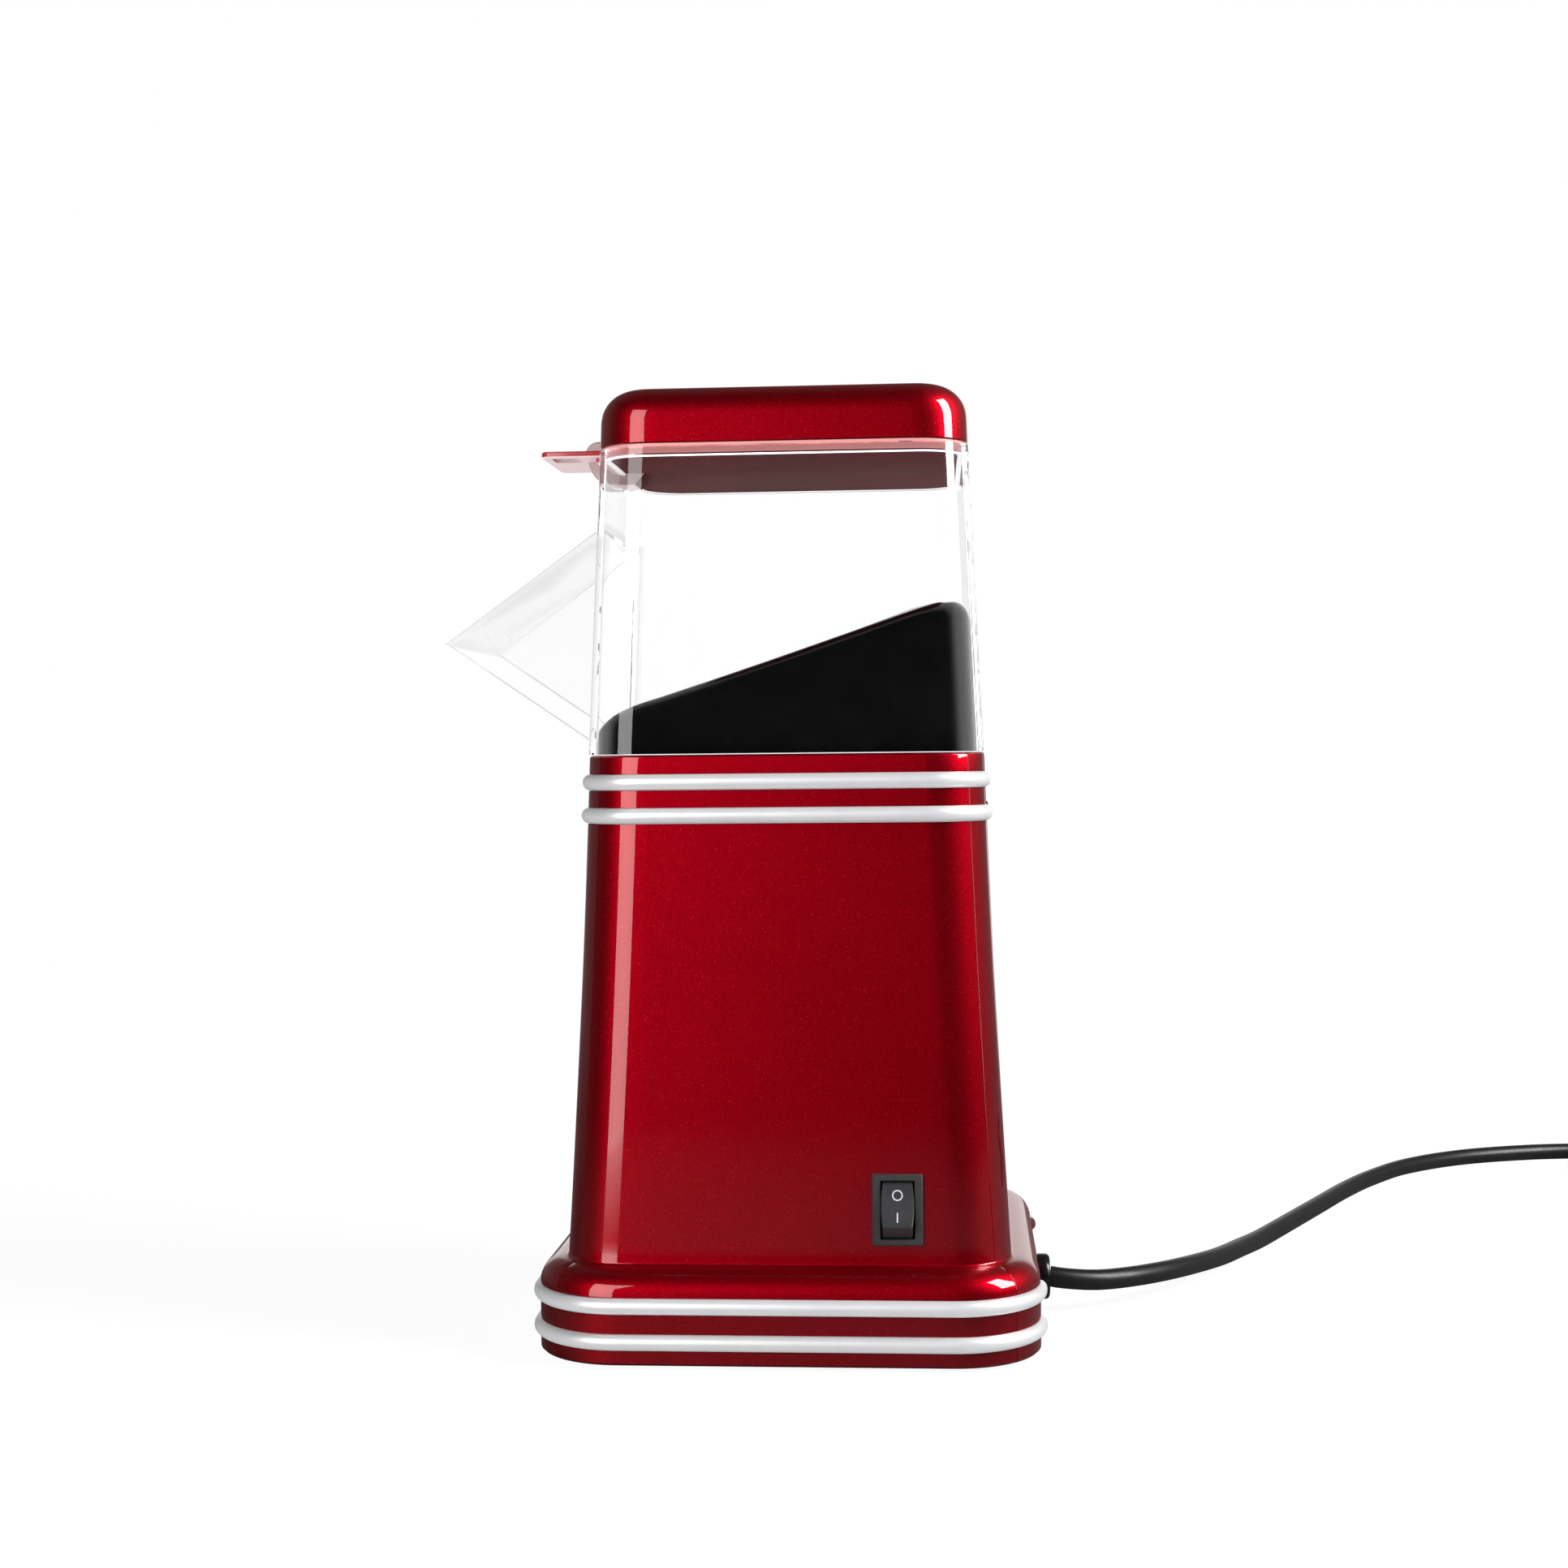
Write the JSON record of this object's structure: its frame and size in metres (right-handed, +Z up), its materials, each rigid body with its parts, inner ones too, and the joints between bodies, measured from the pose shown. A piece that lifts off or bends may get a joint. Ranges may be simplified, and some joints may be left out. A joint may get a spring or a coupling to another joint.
{
  "type": "popcorn maker",
  "caption": "Hot-air popcorn maker: red flared housing, clear hood with front chute, sloped guide, measuring cup with handle, domed lid, rocker switch and cord.",
  "frame": {"origin": "middle of the footprint of everything but the cord, on the surface it stands on", "axes": "+Z up, -Y front (chute and handle), +Y rear (cord), +X the side with the switch"},
  "size_m": [0.3591, 0.5176, 0.2929],
  "materials": {
    "red_paint": "gloss metallic",
    "red_tray": "gloss",
    "satin_silver": "satin metallic",
    "dark_plastic": "matte",
    "gloss_black": "gloss",
    "rubber": "matte",
    "steel": "brushed",
    "chamber_aluminium": "satin",
    "phenolic": "matte",
    "mica": "flaky",
    "resistance_wire": "oxidised",
    "ceramic": "matte",
    "magnet": "matte",
    "bronze": "sintered",
    "copper": "bare",
    "board": "coated",
    "component": "matte",
    "rocker_black": "satin",
    "cord_rubber": "satin",
    "wire_brown": "satin",
    "wire_red": "satin",
    "wire_blue": "satin",
    "clear_plastic": "clear"
  },
  "bodies": {
    "base": {"housing": "red_paint", "band_base_lower": "satin_silver", "band_base_upper": "satin_silver", "band_collar_lower": "satin_silver", "band_collar_upper": "satin_silver", "base_plate": "dark_plastic", "switch_body": "dark_plastic", "cord_tie": "dark_plastic", "popcorn_guide": "gloss_black", "rubber_feet": "rubber", "chamber_gasket": "rubber", "base_screws": "steel", "chamber_screws": "steel", "duct_screws": "steel", "motor_screws": "steel", "motor_can": "steel", "plug_pins": "steel", "thermal_fuse": "steel", "popping_chamber": "chamber_aluminium", "air_duct": "phenolic", "fan_housing": "phenolic", "motor_end_cap": "phenolic", "mica_frame": "mica", "heater_coil": "resistance_wire", "thermostat": "ceramic", "motor_magnets": "magnet", "motor_brushes": "magnet", "upper_bush": "bronze", "lower_bush": "bronze", "motor_terminals": "copper", "switch_terminals": "copper", "rectifier_board": "board", "rectifier_diodes": "component", "strain_relief": "cord_rubber", "power_cord": "cord_rubber", "cord_coil": "cord_rubber", "plug_body": "cord_rubber", "live_wire": "wire_brown", "switched_wire": "wire_red", "neutral_wire": "wire_blue"},
    "rocker": {"switch_rocker": "rocker_black"},
    "rotor": {"motor_shaft": "steel", "armature_core": "steel", "armature_windings": "copper", "commutator": "copper", "impeller": "phenolic", "impeller_clip": "steel"},
    "hood": {"hood": "clear_plastic", "chute": "clear_plastic"},
    "cup": {"measuring_cup": "red_tray"},
    "lid": {"lid": "red_paint"}
  },
  "joints": [
    {"name": "rocker_pivot", "type": "hinge", "parent": "base", "child": "rocker", "pos_m": [0.06153, 0.0464, 0.04565], "axis": [0, 1, 0], "range_deg": [0, 28]},
    {"name": "fan_spin", "type": "hinge", "parent": "base", "child": "rotor", "pos_m": [0, 0.0129, 0.06], "axis": [0, 0, 1], "continuous": true},
    {"name": "hood_lift", "type": "slide", "parent": "base", "child": "hood", "axis": [0, 0, 1], "range_m": [0, 0.07]},
    {"name": "cup_lift", "type": "slide", "parent": "hood", "child": "cup", "axis": [0, 0, 1], "range_m": [0, 0.03]},
    {"name": "lid_lift", "type": "slide", "parent": "cup", "child": "lid", "axis": [0, 0, 1], "range_m": [0, 0.03]}
  ]
}
